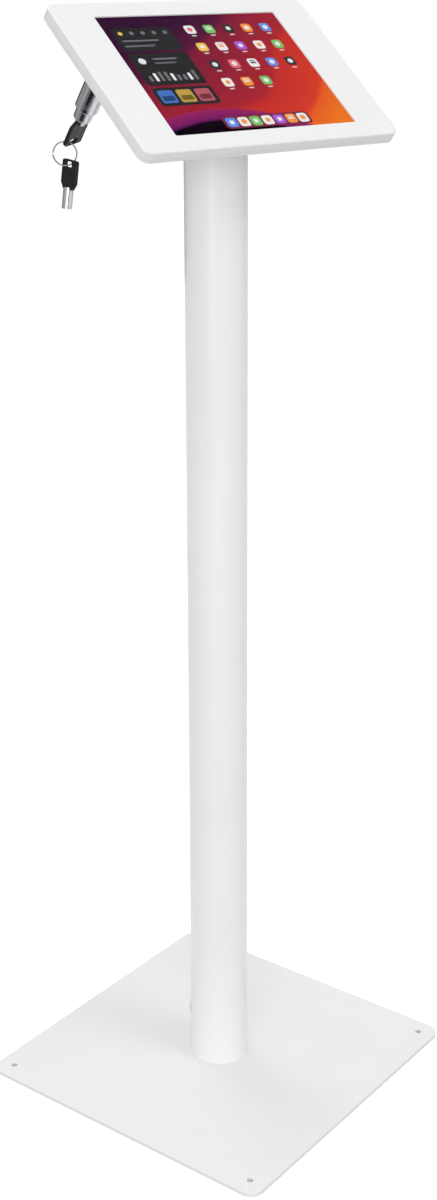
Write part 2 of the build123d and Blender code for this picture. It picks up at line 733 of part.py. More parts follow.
# Foam strips under the tablet
with BuildPart() as back_pads:
    with BuildSketch(at_depth(pocket_top)):
        with GridLocations(0, back_pad_pitch, 1, 2):
            Rectangle(back_pad_length, back_pad_width)
    extrude(amount=pocket_top - tablet_back)
finish(back_pads, "back_pads")

# Foam corner blocks that hold the tablet in the middle of the tray
with BuildPart() as corner_foams:
    foam_outer_x = inner_width / 2 - hole_gap
    foam_outer_y = inner_height / 2 - hole_gap
    with BuildSketch(at_depth(pocket_top)):
        RectangleRounded(
            2 * foam_outer_x, 2 * foam_outer_y, casing_corner_radius - lip_inset - hole_gap
        )
        Rectangle(
            tablet_width - 2 * corner_foam_reach, 2 * foam_outer_y + cut_over, mode=Mode.SUBTRACT
        )
        Rectangle(
            2 * foam_outer_x + cut_over, tablet_height - 2 * corner_foam_reach, mode=Mode.SUBTRACT
        )
        RectangleRounded(
            tablet_width + 2 * hole_gap,
            tablet_height + 2 * hole_gap,
            tablet_corner_radius + hole_gap,
            mode=Mode.SUBTRACT,
        )
    extrude(amount=corner_foam_cover)
finish(corner_foams, "corner_foams")

# Cover hinges on the right edge: leaf and knuckles on each half, joined by a pin
hinge_across = casing_width / 2 + hinge_knuckle_radius + hole_gap
hinge_depth = cover_depth + seam / 2
knuckle_run = hinge_length / 3
hinge_middles = (-hinge_pitch / 2, hinge_pitch / 2)
cover_knuckles = (-knuckle_run / 2,)
tray_knuckles = (-hinge_length / 2, hinge_length / 2 - knuckle_run)


def make_hinge_leaf(leaf_from, leaf_to, own_knuckles, other_knuckles):
    """One side of both hinges: flat leaf on the casing's wall, with its own knuckles."""
    with BuildPart() as leaf:
        for middle in hinge_middles:
            with BuildSketch(along_head(middle - hinge_length / 2)):
                with Locations((casing_width / 2 + hinge_leaf / 2, (leaf_from + leaf_to) / 2)):
                    Rectangle(hinge_leaf, leaf_to - leaf_from)
            extrude(amount=hinge_length)
            for start in other_knuckles:
                with BuildSketch(along_head(middle + start - hinge_play)):
                    with Locations((hinge_across, hinge_depth)):
                        Circle(hinge_knuckle_radius + hinge_play)
                extrude(amount=knuckle_run + 2 * hinge_play, mode=Mode.SUBTRACT)
            for start in own_knuckles:
                with BuildSketch(along_head(middle + start + hinge_play / 2)):
                    with Locations((hinge_across, hinge_depth)):
                        Circle(hinge_knuckle_radius)
                        Circle(hinge_pin_diameter / 2 + slide_gap, mode=Mode.SUBTRACT)
                extrude(amount=knuckle_run - hinge_play)
    return leaf


hinge_leaves_cover = make_hinge_leaf(
    hinge_leaf_start, hinge_depth - hinge_knuckle_radius / 2, cover_knuckles, tray_knuckles
)
finish(hinge_leaves_cover, "hinge_leaves_cover")
hinge_leaves_tray = make_hinge_leaf(
    hinge_depth + hinge_knuckle_radius / 2, casing_depth - hinge_leaf_end, tray_knuckles, cover_knuckles
)
finish(hinge_leaves_tray, "hinge_leaves_tray")

with BuildPart() as hinge_pins:
    for middle in hinge_middles:
        with BuildSketch(along_head(middle - hinge_length / 2)):
            with Locations((hinge_across, hinge_depth)):
                Circle(hinge_pin_diameter / 2)
        extrude(amount=hinge_length)
        with BuildSketch(along_head(middle + hinge_length / 2)):
            with Locations((hinge_across, hinge_depth)):
                Circle(hinge_pin_diameter / 2 + hinge_pin_head)
        extrude(amount=hinge_pin_head)
finish(hinge_pins, "hinge_pins")

# Lock: planes square to its axis, measured from the casing's face
lock_point = face_middle + across * lock_across + face_up * lock_up
lock_plane = Plane(origin=lock_point, x_dir=across, z_dir=face_normal * -1)
lock_axis = Axis(lock_point, face_normal * -1)
barrel_end = casing_depth + lock_barrel_length
lock_face = barrel_end + lock_nose_length
spigot_end = pocket_top - lock_nut_thickness
plug_back = lock_face - plug_length
key_hole_depth = key_inserted + seat_gap
with BuildPart() as lock_housing:
    with BuildSketch(lock_plane.offset(spigot_end)):
        Circle(lock_spigot_diameter / 2)
    extrude(amount=casing_depth - spigot_end)
    with BuildSketch(lock_plane.offset(casing_depth)):
        Circle(lock_barrel_diameter / 2)
    extrude(amount=lock_barrel_length)
    fillet(lock_housing.faces().sort_by(lock_axis)[-1].edges(), radius=lock_edge_round)
    with BuildSketch(lock_plane.offset(barrel_end)):
        Circle(lock_nose_diameter / 2)
    extrude(amount=lock_nose_length)
    fillet(lock_housing.faces().sort_by(lock_axis)[-1].edges(), radius=lock_edge_round)
    with BuildSketch(lock_plane.offset(plug_back)):
        Circle(plug_diameter / 2 + slide_gap)
    extrude(amount=plug_length, mode=Mode.SUBTRACT)
    with BuildSketch(lock_plane.offset(spigot_end)):
        Circle(plug_tail_diameter / 2 + slide_gap)
    extrude(amount=plug_back - spigot_end, mode=Mode.SUBTRACT)
finish(lock_housing, "lock_housing")

# Round nut inside the tray, with two spanner slots
with BuildPart() as lock_nut:
    with BuildSketch(lock_plane.offset(spigot_end)):
        Circle(lock_nut_diameter / 2)
        Rectangle(lock_nut_diameter, lock_nut_slot, mode=Mode.SUBTRACT)
        Circle(lock_nut_diameter / 2 - lock_nut_slot / 2)
        Circle(lock_spigot_diameter / 2 + slide_gap, mode=Mode.SUBTRACT)
    extrude(amount=lock_nut_thickness)
finish(lock_nut, "lock_nut")

# Lock plug: rotor with the ring-shaped keyway, the pin holes and a squared tail
cam_back = spigot_end - cam_gap
cam_front = cam_back - cam_thickness
with BuildPart() as lock_plug:
    with BuildSketch(lock_plane.offset(plug_back + face_gap)):
        Circle(plug_diameter / 2)
    extrude(amount=plug_length - face_gap)
    with BuildSketch(lock_plane.offset(lock_face - key_hole_depth)):
        Circle(key_barrel_diameter / 2 + slide_gap)
        with Locations(Location((0, 0), -key_turned)):
            with Locations((plug_diameter / 4 + cut_over, 0)):
                Rectangle(plug_diameter / 2 + cut_over, key_rib_width + 2 * hole_gap)
        Circle(key_barrel_bore / 2 - slide_gap, mode=Mode.SUBTRACT)
    extrude(amount=key_hole_depth, mode=Mode.SUBTRACT)
    with BuildSketch(lock_plane.offset(lock_face - key_hole_depth - pin_length - face_gap)):
        with PolarLocations(pin_circle / 2, pin_count):
            Circle(pin_diameter / 2 + slide_gap)
    extrude(amount=pin_length + face_gap, mode=Mode.SUBTRACT)
    with BuildSketch(lock_plane.offset(cam_back)):
        Circle(plug_tail_diameter / 2)
    extrude(amount=plug_back + face_gap - cam_back)
    with BuildSketch(lock_plane.offset(cam_front)):
        Rectangle(plug_square, plug_square)
    extrude(amount=cam_thickness)
    with BuildSketch(lock_plane.offset(cam_front)):
        Circle(cam_screw_diameter / 2 + slide_gap)
    extrude(amount=cam_screw_length + seat_gap, mode=Mode.SUBTRACT)
finish(lock_plug, "lock_plug")

# Spring-loaded pins of the tubular lock, at the bottom of the keyway
with BuildPart() as lock_pins:
    with BuildSketch(lock_plane.offset(lock_face - key_hole_depth - pin_length)):
        with PolarLocations(pin_circle / 2, pin_count):
            Circle(pin_diameter / 2)
    extrude(amount=pin_length)
finish(lock_pins, "lock_pins")

# Cam on the tail: hub and tongue, drawn unlocked with the tongue up the face
with BuildPart() as lock_cam:
    with BuildSketch(lock_plane.offset(cam_front)):
        Circle(cam_hub_radius)
        with Locations((0, -cam_reach / 2)):
            Rectangle(2 * cam_hub_radius - cam_thickness, cam_reach)
        Circle(cam_reach, mode=Mode.INTERSECT)
        Rectangle(plug_square + 2 * slide_gap, plug_square + 2 * slide_gap, mode=Mode.SUBTRACT)
    extrude(amount=cam_thickness)
finish(lock_cam, "lock_cam")

with BuildPart() as cam_screw:
    with BuildSketch(lock_plane.offset(cam_front - cam_screw_head_height)):
        Circle(cam_screw_head_diameter / 2)
    extrude(amount=cam_screw_head_height)
    with BuildSketch(lock_plane.offset(cam_front)):
        Circle(cam_screw_diameter / 2)
    extrude(amount=cam_screw_length)
finish(cam_screw, "cam_screw")

# Catch welded under the cover's left side: its foot lies behind the locked cam
catch_wall = -casing_width / 2 + sheet + lip_gap
foot_front = cam_back + cam_gap
foot_back = foot_front + cam_thickness
with BuildPart() as cover_catch:
    with BuildSketch(along_head(lock_up - catch_width / 2)):
        with BuildLine():
            Polyline(
                (catch_wall, sheet),
                (catch_wall + catch_flange, sheet),
                (catch_wall + catch_flange, 2 * sheet),
                (catch_wall + sheet, 2 * sheet),
                (catch_wall + sheet, foot_front),
                (catch_wall + sheet + catch_foot, foot_front),
                (catch_wall + sheet + catch_foot, foot_back),
                (catch_wall, foot_back),
                close=True,
            )
        make_face()
    extrude(amount=catch_width)
finish(cover_catch, "cover_catch")


def make_key(key_plane):
    """Barrel and bow of a tubular key. The plane's origin is the top of the bow's shoulder, its
    z axis points to the barrel's tip and its x axis runs along the bow's width."""
    with BuildPart() as barrel:
        with BuildSketch(key_plane.offset(-key_rooted)):
            Circle(key_barrel_diameter / 2)
        extrude(amount=key_rooted + key_barrel_length)
        with BuildSketch(key_plane):
            Circle(key_barrel_bore / 2)
        extrude(amount=key_barrel_length, mode=Mode.SUBTRACT)
        with BuildSketch(key_plane.offset(key_barrel_length - key_rib_width)):
            rib_reach = key_barrel_diameter / 2 + key_rib_height
            with Locations((rib_reach / 2, 0)):
                Rectangle(rib_reach, key_rib_width)
            Circle((key_barrel_diameter + key_barrel_bore) / 4, mode=Mode.SUBTRACT)
        extrude(amount=key_rib_width)
    bow_side = key_plane.origin - key_plane.y_dir * (bow_thickness / 2)
    with BuildPart() as bow:
        with BuildSketch(Plane(origin=bow_side, x_dir=key_plane.x_dir, z_dir=key_plane.y_dir)) as outline:
            with BuildLine():
                Polyline(
                    (-bow_neck_width / 2, 0),
                    (bow_neck_width / 2, 0),
                    (bow_width / 2, bow_shoulder),
                    (bow_width / 2, bow_length),
                    (-bow_width / 2, bow_length),
                    (-bow_width / 2, bow_shoulder),
                    close=True,
                )
            make_face()
            fillet(outline.vertices(), radius=bow_corner_radius)
        extrude(amount=bow_thickness)
        flat_faces = bow.faces().filter_by(Axis(bow_side, key_plane.y_dir))
        fillet(flat_faces.edges(), radius=bow_edge_round)
        slot_middle = bow_length - bow_slot_margin - bow_slot_height / 2
        slot_plane = Plane(origin=bow_side, x_dir=key_plane.x_dir, z_dir=key_plane.y_dir)
        with BuildSketch(slot_plane):
            with Locations((bow_slot_shift, slot_middle)):
                RectangleRounded(bow_slot_length, bow_slot_height, bow_slot_corner)
        extrude(amount=bow_thickness, mode=Mode.SUBTRACT)
        flat_faces = bow.faces().filter_by(Axis(bow_side, key_plane.y_dir)).sort_by(SortBy.AREA)[-2:]
        for flat in flat_faces:
            fillet(flat.inner_wires()[0].edges(), radius=bow_slot_round)
        with BuildSketch(key_plane.offset(-key_rooted)):
            Circle(key_barrel_diameter / 2)
        extrude(amount=key_rooted, mode=Mode.SUBTRACT)
    return barrel, bow


# The key in the lock
key_width_dir = across * cos(radians(key_turned)) + face_up * sin(radians(key_turned))
key_top = lock_point - face_normal * (lock_face + key_barrel_length - key_inserted)
key_plane = Plane(origin=key_top, x_dir=key_width_dir, z_dir=face_normal)
key_barrel, key_bow = make_key(key_plane)
finish(key_barrel, "key_barrel")
finish(key_bow, "key_bow")

# Key ring: a turn of wire through both bows, its lap towards the casing
wire_reach = bow_length - bow_slot_margin - ring_wire / 2
wire_point = key_top - face_normal * (wire_reach - wire_down) + key_width_dir * wire_across
ring_side = Vector(cos(radians(ring_facing)), -sin(radians(ring_facing)), 0)
ring_front = Vector(-sin(radians(ring_facing)), -cos(radians(ring_facing)), 0)
ring_drop = sqrt((ring_diameter / 2) ** 2 - ring_offset ** 2)
ring_middle = wire_point - ring_side * ring_offset - up * ring_drop
spare_point = wire_point - up * (2 * ring_drop)
with BuildPart() as key_ring:
    ring_plane = Plane(origin=ring_middle, x_dir=ring_side, z_dir=ring_front)
    with BuildLine(ring_plane) as ring_path:
        CenterArc((0, 0), ring_diameter / 2, 180 + ring_lap / 2, 360 - ring_lap)
    with BuildSketch(Plane(origin=ring_path.line @ 0, z_dir=ring_path.line % 0)):
        Circle(ring_wire / 2)
    sweep()
finish(key_ring, "key_ring")

# The spare key hangs from the ring, a little out of plumb
spare_down = up * -cos(radians(spare_lean)) - ring_side * sin(radians(spare_lean))
spare_flat = ring_side * cos(radians(spare_turned)) + ring_front * sin(radians(spare_turned))
spare_width_dir = (spare_flat - spare_down * spare_flat.dot(spare_down)).normalized()
spare_top = (
    spare_point
    + spare_down * (wire_reach - spare_wire_down)
    - spare_width_dir * spare_wire_across
)
spare_plane = Plane(origin=spare_top, x_dir=spare_width_dir, z_dir=spare_down)
spare_barrel, spare_bow = make_key(spare_plane)
finish(spare_barrel, "spare_barrel")
finish(spare_bow, "spare_bow")
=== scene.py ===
import json
import math
import random

import bmesh
import bpy
from mathutils import Matrix, Vector


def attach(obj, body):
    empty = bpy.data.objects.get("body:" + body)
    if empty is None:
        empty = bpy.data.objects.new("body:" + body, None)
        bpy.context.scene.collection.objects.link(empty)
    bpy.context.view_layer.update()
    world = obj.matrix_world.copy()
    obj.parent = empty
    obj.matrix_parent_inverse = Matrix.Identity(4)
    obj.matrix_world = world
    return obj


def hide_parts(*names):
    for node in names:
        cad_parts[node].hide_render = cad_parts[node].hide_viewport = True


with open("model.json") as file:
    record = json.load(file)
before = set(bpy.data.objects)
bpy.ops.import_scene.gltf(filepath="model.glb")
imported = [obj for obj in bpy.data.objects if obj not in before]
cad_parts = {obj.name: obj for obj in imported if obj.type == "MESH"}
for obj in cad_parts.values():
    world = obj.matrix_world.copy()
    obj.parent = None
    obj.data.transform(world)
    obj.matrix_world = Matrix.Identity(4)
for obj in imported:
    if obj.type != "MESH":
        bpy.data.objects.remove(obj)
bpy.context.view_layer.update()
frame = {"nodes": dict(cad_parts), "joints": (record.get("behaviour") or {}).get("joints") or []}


# Base plate: a square of 4 mm sheet steel with four floor holes, powder-coated white. The
# coat is satin, with a very fine orange-peel skin that shows only close up. The sheet pieces'
# white is a shade greyer than that of the column and its fittings. This is painted shade: it
# tones down the broad faces of the base and the casing, which the lamps light more strongly.
COAT_WHITE = (0.84, 0.84, 0.842)
SHEET_SHADED_WHITE = (0.817, 0.817, 0.819)
COAT_MIRROR = 0.42          # how strongly the coat mirrors, where plain plastic has 0.5
COAT_GRAIN = 1400.0         # noise cells to the metre
COAT_RIPPLE = 180.0
COAT_CLOUDS = 9.0
COAT_HEIGHT = 0.000012      # metres from peak to hollow
NOISE_LOW = 0.35            # a noise keeps mostly between these two
NOISE_HIGH = 0.65


def new_finish(name, color, roughness, metallic=0.0):
    """A material with one Principled shader, its constants set on the shader itself."""
    material = bpy.data.materials.new(name)
    material.use_nodes = True
    shader = material.node_tree.nodes["Principled BSDF"]
    shader.inputs["Base Color"].default_value = (*color, 1.0)
    shader.inputs["Roughness"].default_value = roughness
    shader.inputs["Metallic"].default_value = metallic
    return material, shader


def object_noise(material, scale, detail=2.0, stretch=(1.0, 1.0, 1.0)):
    """A noise over the object's own coordinates, in cells to the metre."""
    nodes, links = material.node_tree.nodes, material.node_tree.links
    coordinates = nodes.new("ShaderNodeTexCoord")
    mapping = nodes.new("ShaderNodeMapping")
    mapping.inputs["Scale"].default_value = stretch
    noise = nodes.new("ShaderNodeTexNoise")
    noise.inputs["Scale"].default_value = scale
    noise.inputs["Detail"].default_value = detail
    links.new(coordinates.outputs["Object"], mapping.inputs["Vector"])
    links.new(mapping.outputs["Vector"], noise.inputs["Vector"])
    return noise.outputs["Fac"]


def raise_bumps(material, shader, height, distance, strength):
    """Bump the surface by a height signal. Several calls add to each other."""
    nodes, links = material.node_tree.nodes, material.node_tree.links
    bump = nodes.new("ShaderNodeBump")
    bump.inputs["Distance"].default_value = distance
    bump.inputs["Strength"].default_value = strength
    normal = shader.inputs["Normal"]
    if normal.is_linked:
        links.new(normal.links[0].from_socket, bump.inputs["Normal"])
    links.new(height, bump.inputs["Height"])
    links.new(bump.outputs["Normal"], normal)


def vary(material, shader, socket, signal, low, high):
    """Let a shader value, or the brightness of its colour, follow a noise."""
    nodes, links = material.node_tree.nodes, material.node_tree.links
    spread = nodes.new("ShaderNodeMapRange")
    spread.inputs["From Min"].default_value = NOISE_LOW
    spread.inputs["From Max"].default_value = NOISE_HIGH
    spread.inputs["To Min"].default_value = low
    spread.inputs["To Max"].default_value = high
    links.new(signal, spread.inputs["Value"])
    if socket != "Base Color":
        links.new(spread.outputs["Result"], shader.inputs[socket])
        return
    tint = nodes.new("ShaderNodeVectorMath")
    tint.operation = "SCALE"
    tint.inputs[0].default_value = shader.inputs["Base Color"].default_value[:3]
    links.new(spread.outputs["Result"], tint.inputs["Scale"])
    links.new(tint.outputs["Vector"], shader.inputs["Base Color"])


def dress(material, *nodes):
    """Give whole CAD pieces one finish."""
    for node in nodes:
        piece = frame["nodes"][node]
        for slot in piece.material_slots:
            slot.material = material


def powder_coat(name, white, roughness):
    """White polyester powder coat."""
    material, shader = new_finish(name, white, roughness)
    shader.inputs["Specular IOR Level"].default_value = COAT_MIRROR
    grain = object_noise(material, COAT_GRAIN, detail=1.0)
    ripple = object_noise(material, COAT_RIPPLE)
    clouds = object_noise(material, COAT_CLOUDS)
    raise_bumps(material, shader, grain, COAT_HEIGHT, strength=0.6)
    raise_bumps(material, shader, ripple, COAT_HEIGHT * 2, strength=0.5)
    vary(material, shader, "Base Color", clouds, 0.988, 1.008)
    vary(material, shader, "Roughness", ripple, roughness - 0.05, roughness + 0.05)
    return material


dress(powder_coat("base_coat", SHEET_SHADED_WHITE, 0.42), "base_plate")


# Fixings in the foot: four countersunk screws with a black oxide finish hold the column down
# from below, into a plain steel disc welded inside the tube.
ZINC_GREY = (0.58, 0.59, 0.61)
OXIDE_BLACK = (0.035, 0.035, 0.038)
TURNING_CELLS = 600.0       # noise cells to the metre
TURNING_STRETCH = (1.0, 1.0, 4.0)
TURNING_DEPTH = 0.000006
WEAR_CELLS = 90.0


def worn_steel(name, color, roughness):
    """Machined steel with fine turning marks and patches of wear."""
    material, shader = new_finish(name, color, roughness, metallic=1.0)
    marks = object_noise(material, TURNING_CELLS, detail=3.0, stretch=TURNING_STRETCH)
    wear = object_noise(material, WEAR_CELLS)
    raise_bumps(material, shader, marks, TURNING_DEPTH, strength=0.4)
    vary(material, shader, "Roughness", marks, roughness - 0.08, roughness + 0.1)
    vary(material, shader, "Base Color", wear, 0.9, 1.05)
    return material


zinc = worn_steel("zinc_steel", ZINC_GREY, 0.32)
dress(worn_steel("oxide_steel", OXIDE_BLACK, 0.45), "base_screws")
dress(zinc, "foot_plug")


# Column: a 60 mm steel tube, coated like the base. Its skin is a little smoother, because the
# drawn tube under the coat is smoother than sheet.
dress(powder_coat("column_coat", COAT_WHITE, 0.36), "column_tube")


# Cable grommets: soft whitish rubber rings, pushed into the outlet at the column's foot and
# into the hole in the casing's back. Moulded, so matt with a faint grain.
GROMMET_GREY = (0.76, 0.76, 0.75)
GROMMET_CELLS = 2600.0
GROMMET_GRAIN = 0.00002
grommet_rubber, shader = new_finish("grommet_rubber", GROMMET_GREY, 0.62)
grain = object_noise(grommet_rubber, GROMMET_CELLS)
raise_bumps(grommet_rubber, shader, grain, GROMMET_GRAIN, strength=0.7)
dress(grommet_rubber, "cable_grommet", "tray_grommet")


# Column cap and yoke: turned and welded steel under the same white coat, with white painted
# screw heads. The yoke turns on a nylon washer and is held down by a disc spring and a nut.
SCREW_WHITE = (0.8, 0.8, 0.8)
NYLON_CREAM = (0.72, 0.71, 0.66)
NYLON_DEPTH = (0.002, 0.002, 0.0015)    # metres that light goes into it, by colour
NYLON_CELLS = 1500.0
NYLON_GRAIN = 0.00001
dress(powder_coat("fitting_coat", COAT_WHITE, 0.4), "column_cap", "tilt_yoke", "head_bracket")
dress(powder_coat("screw_paint", SCREW_WHITE, 0.34), "cap_screws", "mount_screws")
dress(zinc, "stop_pin", "thrust_washer", "disc_spring", "swivel_nut")
nylon, shader = new_finish("nylon", NYLON_CREAM, 0.5)
shader.inputs["Subsurface Weight"].default_value = 0.1
shader.inputs["Subsurface Radius"].default_value = NYLON_DEPTH
raise_bumps(nylon, shader, object_noise(nylon, NYLON_CELLS), NYLON_GRAIN, strength=0.6)
dress(nylon, "swivel_washer", "tilt_washers")


# Tilt bolt, nut and the casing's press nuts: the same zinc-plated steel as in the foot and
# the swivel.
dress(zinc, "tilt_bolt", "tilt_nut", "press_nuts")


# Casing: a pressed steel tray and the cover that closes over it, with the cover's catch and
# the leaves of the hinges, all in the sheet's white, greyed a little as painted shade. The
# hinge pins are zinc-plated.
casing_coat = powder_coat("casing_coat", SHEET_SHADED_WHITE, 0.38)
dress(casing_coat, "back_tray", "front_cover", "cover_catch")
dress(casing_coat, "hinge_leaves_tray", "hinge_leaves_cover")
dress(zinc, "hinge_pins")


# Foam packing: dark closed-cell strips and corner blocks that hold the tablet in the tray.
# The cells show as a coarse grain with spots of lighter and darker grey.
FOAM_GREY = (0.06, 0.06, 0.065)
FOAM_CELLS = 1900.0
FOAM_SPOTS = 900.0
FOAM_GRAIN = 0.00015
foam, shader = new_finish("foam", FOAM_GREY, 0.9)
cells = object_noise(foam, FOAM_CELLS, detail=3.0)
raise_bumps(foam, shader, cells, FOAM_GRAIN, strength=0.8)
vary(foam, shader, "Base Color", object_noise(foam, FOAM_SPOTS), 0.6, 1.4)
dress(foam, "back_pads", "corner_foams")


# Tablet: a bead-blasted aluminium shell with its buttons, and inside it film-wrapped cells
# and a green board.
SHELL_GREY = (0.66, 0.66, 0.68)
BLAST_CELLS = 4200.0
BLAST_DEPTH = 0.000008
FILM_BLACK = (0.03, 0.03, 0.034)
FILM_FOLDS = 60.0
FILM_DEPTH = 0.0001
BOARD_GREEN = (0.02, 0.09, 0.05)
BOARD_SPOTS = 700.0
blasted, shader = new_finish("blasted_aluminium", SHELL_GREY, 0.36, metallic=1.0)
beads = object_noise(blasted, BLAST_CELLS, detail=1.0)
raise_bumps(blasted, shader, beads, BLAST_DEPTH, strength=0.7)
dress(blasted, "tablet_shell", "power_button", "volume_up_button", "volume_down_button")
cell_film, shader = new_finish("cell_film", FILM_BLACK, 0.3)
raise_bumps(cell_film, shader, object_noise(cell_film, FILM_FOLDS), FILM_DEPTH, strength=0.5)
dress(cell_film, "tablet_battery")
board_green, shader = new_finish("board_green", BOARD_GREEN, 0.35)
vary(board_green, shader, "Base Color", object_noise(board_green, BOARD_SPOTS), 0.7, 1.3)
dress(board_green, "tablet_board")


# Lit display: the panel under the glass, with a generic picture on it. A wallpaper of broad
# rings runs from plum through red to orange and black, and over it lie dark panels with
# small gauges and rows of plain coloured tiles, up to three tenths of a millimetre proud.
PICTURE_WIDTH = 0.2073      # metres
PICTURE_HEIGHT = 0.1555
DISPLAY_CORNER = 0.0105
CORNER_STEPS = 4            # flats that round off a corner
INK_LIFT = 0.0001           # thickness of a patch in the first layer
joints = {joint["name"]: joint for joint in frame["joints"]}
across = Vector(joints["tilt"]["axis"])
face_up = Vector(joints["cover_open"]["axis"])
outward = Vector(joints["lock_turn"]["axis"])
display_points = [Vector(v.co) for v in frame["nodes"]["tablet_display"].data.vertices]


def reach(points, direction):
    """Lowest and highest place of some points along a direction."""
    places = [point.dot(direction) for point in points]
    return min(places), max(places)


display_left, display_right = reach(display_points, across)
display_foot, display_head = reach(display_points, face_up)
display_back, display_front = reach(display_points, outward)
display_middle = (
    across * (display_left + display_right) / 2
    + face_up * (display_foot + display_head) / 2
    + outward * (display_back + display_front) / 2
)
turn_to_head = Matrix((across, face_up, outward)).transposed().to_4x4()
head_place = Matrix.Translation(display_middle) @ turn_to_head
panel_width = display_right - display_left
panel_height = display_head - display_foot
panel_thickness = display_front - display_back


def add_slab(bm, middle, size, corner):
    """A flat slab with rounded corners in plan. Returns its faces."""
    made = bmesh.ops.create_cube(bm, size=1.0)
    bmesh.ops.scale(bm, vec=size, verts=made["verts"])
    bmesh.ops.translate(bm, vec=middle, verts=made["verts"])
    edges = {edge for vert in made["verts"] for edge in vert.link_edges}
    uprights = [e for e in edges if abs(e.verts[0].co.z - e.verts[1].co.z) > size[2] / 2]
    known = set(bm.faces) - {face for vert in made["verts"] for face in vert.link_faces}
    bmesh.ops.bevel(
        bm, geom=uprights, offset=corner, segments=CORNER_STEPS, affect="EDGES",
        profile=0.5, material=-1,
    )
    return [face for face in bm.faces if face not in known]


def finish_mesh(bm, name, place=None):
    """Turn a bmesh into an object whose place is in its mesh."""
    bmesh.ops.recalc_face_normals(bm, faces=bm.faces)
    if place is not None:
        bm.transform(place)
    mesh = bpy.data.meshes.new(name)
    bm.to_mesh(mesh)
    bm.free()
    piece = bpy.data.objects.new(name, mesh)
    bpy.context.scene.collection.objects.link(piece)
    return piece


# The wallpaper's rings. Their middles lie outside the picture, which runs from 0 to 1 both
# ways, and each band has its place on the way to RING_REACH and its colour and cover.
RING_REACH = 1.62
WARM_MIDDLE = (0.05, 1.45)
WARM_BANDS = (
    (0.0, (0.018, 0.003, 0.022, 1)),
    (0.40, (0.035, 0.004, 0.030, 1)),
    (0.50, (0.09, 0.007, 0.038, 1)),
    (0.52, (0.20, 0.010, 0.036, 1)),
    (0.64, (0.30, 0.014, 0.032, 1)),
    (0.72, (0.38, 0.016, 0.026, 1)),
    (0.74, (0.52, 0.024, 0.022, 1)),
    (0.88, (0.64, 0.040, 0.018, 1)),
    (0.90, (0.76, 0.10, 0.014, 1)),
    (1.0, (0.82, 0.17, 0.014, 1)),
)
DEEP_MIDDLE = (0.36, -0.62)
DEEP_BANDS = (
    (0.0, (0.0, 0.0, 0.001, 1)),
    (0.545, (0.001, 0.0, 0.002, 1)),
    (0.56, (0.16, 0.008, 0.12, 1)),
    (0.615, (0.30, 0.015, 0.11, 1)),
    (0.62, (0.30, 0.015, 0.11, 0)),
    (1.0, (0.0, 0.0, 0.0, 0)),
)
SWIRL_CELLS = 1.3           # the noise that bends the rings, across the picture
SWIRL_PUSH = (0.35, 0.35, 0.0)


def ring_shades(material, source, middle, bands):
    """Broad rings of colour around a point of the picture. Returns the colour ramp."""
    nodes, links = material.node_tree.nodes, material.node_tree.links
    distance = nodes.new("ShaderNodeVectorMath")
    distance.operation = "DISTANCE"
    distance.inputs[1].default_value = (*middle, 0.0)
    links.new(source, distance.inputs[0])
    share = nodes.new("ShaderNodeMath")
    share.operation = "DIVIDE"
    share.inputs[1].default_value = RING_REACH
    links.new(distance.outputs["Value"], share.inputs[0])
    rings = nodes.new("ShaderNodeValToRGB")
    ramp = rings.color_ramp
    for position, color in bands[1:-1]:
        ramp.elements.new(position).color = color
    ramp.elements[0].color = bands[0][1]
    ramp.elements[-1].color = bands[-1][1]
    links.new(share.outputs["Value"], rings.inputs["Fac"])
    return rings


def screen_finish(name):
    """A black surface without a mirror, which shows only the light that it gives off."""
    material, shader = new_finish(name, (0.0, 0.0, 0.0), 0.5)
    shader.inputs["Specular IOR Level"].default_value = 0.0
    shader.inputs["Emission Strength"].default_value = 1.0
    return material, shader


def wallpaper_finish():
    """Two sets of broad rings, one over the other, read from the UV map."""
    material, shader = screen_finish("wallpaper")
    nodes, links = material.node_tree.nodes, material.node_tree.links
    coordinates = nodes.new("ShaderNodeTexCoord")
    swirl = nodes.new("ShaderNodeTexNoise")
    swirl.inputs["Scale"].default_value = SWIRL_CELLS
    swirl.inputs["Detail"].default_value = 0.0
    links.new(coordinates.outputs["UV"], swirl.inputs["Vector"])
    shift = nodes.new("ShaderNodeVectorMath")
    shift.operation = "MULTIPLY_ADD"
    shift.inputs[1].default_value = SWIRL_PUSH
    links.new(swirl.outputs["Color"], shift.inputs[0])
    links.new(coordinates.outputs["UV"], shift.inputs[2])
    warm = ring_shades(material, shift.outputs["Vector"], WARM_MIDDLE, WARM_BANDS)
    deep = ring_shades(material, shift.outputs["Vector"], DEEP_MIDDLE, DEEP_BANDS)
    over = nodes.new("ShaderNodeMix")
    over.data_type = "RGBA"
    links.new(deep.outputs["Alpha"], over.inputs["Factor"])
    links.new(warm.outputs["Color"], over.inputs["A"])
    links.new(deep.outputs["Color"], over.inputs["B"])
    links.new(over.outputs["Result"], shader.inputs["Emission Color"])
    return material


def ink_finish():
    """Flat light in the colour that each tile or panel carries."""
    material, shader = screen_finish("screen_ink")
    nodes, links = material.node_tree.nodes, material.node_tree.links
    carried = nodes.new("ShaderNodeAttribute")
    carried.attribute_name = "ink"
    links.new(carried.outputs["Color"], shader.inputs["Emission Color"])
    return material


display = bmesh.new()
ink = display.loops.layers.float_color.new("ink")
uv = display.loops.layers.uv.new("picture")
add_slab(display, (0, 0, 0), (panel_width, panel_height, panel_thickness), DISPLAY_CORNER)
for face in display.faces:
    for loop in face.loops:
        spot = loop.vert.co
        loop[uv].uv = (spot.x / PICTURE_WIDTH + 0.5, spot.y / PICTURE_HEIGHT + 0.5)


